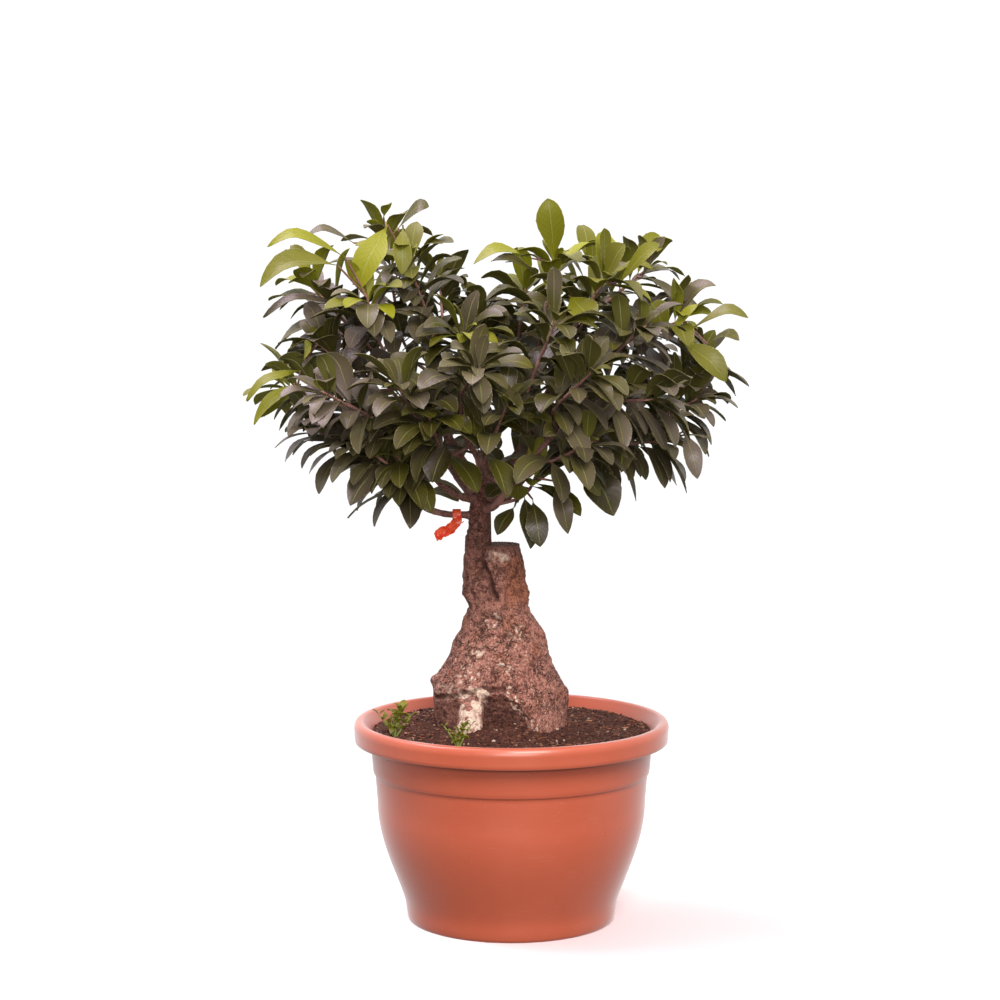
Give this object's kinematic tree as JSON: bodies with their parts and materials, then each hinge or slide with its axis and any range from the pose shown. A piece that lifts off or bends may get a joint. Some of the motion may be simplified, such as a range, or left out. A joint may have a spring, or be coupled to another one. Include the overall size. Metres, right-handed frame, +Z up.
{
  "type": "potted bonsai tree",
  "caption": "Grafted ficus bonsai with a swollen, hollow-footed trunk and a leafy two-lobed crown, in a round plastic pot of soil.",
  "frame": {"origin": "centre of the pot's underside, at the level it stands on", "axes": "+Z up along the pot's axis; the side with the hollow in the trunk faces -Y; +X is to the viewer's right"},
  "size_m": [0.3465, 0.2856, 0.5018],
  "materials": {
    "terracotta_plastic": "satin",
    "potting_soil": "rough crumbs",
    "bark": "rough bark",
    "leaf_green": "waxy leaf",
    "orange_tape": "satin"
  },
  "bodies": {
    "root": {"pot": "terracotta_plastic", "soil": "potting_soil", "trunk": "bark", "branch_left_low": "bark", "branch_left_mid": "bark", "branch_left_upper": "bark", "branch_left_top": "bark", "branch_right_main": "bark", "branch_right_low": "bark", "branch_right_high": "bark", "branch_back": "bark", "branch_front": "bark", "branch_back_left": "bark", "branch_back_right": "bark", "branch_front_right": "bark", "shoot_left_low_outer": "leaf_green", "shoot_left_low_front": "leaf_green", "shoot_left_low_inner": "leaf_green", "shoot_left_lowest": "leaf_green", "shoot_left_edge": "leaf_green", "shoot_left_front": "leaf_green", "shoot_left_mid_front": "leaf_green", "shoot_left_upper": "leaf_green", "shoot_left_side": "leaf_green", "shoot_left_far": "leaf_green", "shoot_left_top": "leaf_green", "shoot_left_top_back": "leaf_green", "shoot_left_crest": "leaf_green", "shoot_left_back_upper": "leaf_green", "shoot_left_back_edge": "leaf_green", "shoot_left_back_low": "leaf_green", "shoot_centre_left": "leaf_green", "shoot_centre_front": "leaf_green", "shoot_centre_front_low": "leaf_green", "shoot_centre_right_low": "leaf_green", "shoot_centre_back_top": "leaf_green", "shoot_centre_back": "leaf_green", "shoot_centre_back_low": "leaf_green", "shoot_right_top": "leaf_green", "shoot_right_top_front": "leaf_green", "shoot_right_top_outer": "leaf_green", "shoot_right_inner_top": "leaf_green", "shoot_right_crest_back": "leaf_green", "shoot_right_upper": "leaf_green", "shoot_right_upper_front": "leaf_green", "shoot_right_mid_inner": "leaf_green", "shoot_right_mid_front": "leaf_green", "shoot_right_edge": "leaf_green", "shoot_right_edge_low": "leaf_green", "shoot_right_front": "leaf_green", "shoot_right_front_low": "leaf_green", "shoot_right_low_outer": "leaf_green", "shoot_right_low_back": "leaf_green", "shoot_right_lowest": "leaf_green", "shoot_right_back_upper": "leaf_green", "shoot_right_back_top": "leaf_green", "shoot_right_back_low": "leaf_green", "tie_tape": "orange_tape", "seedling_left": "leaf_green", "seedling_front": "leaf_green"}
  },
  "joints": []
}
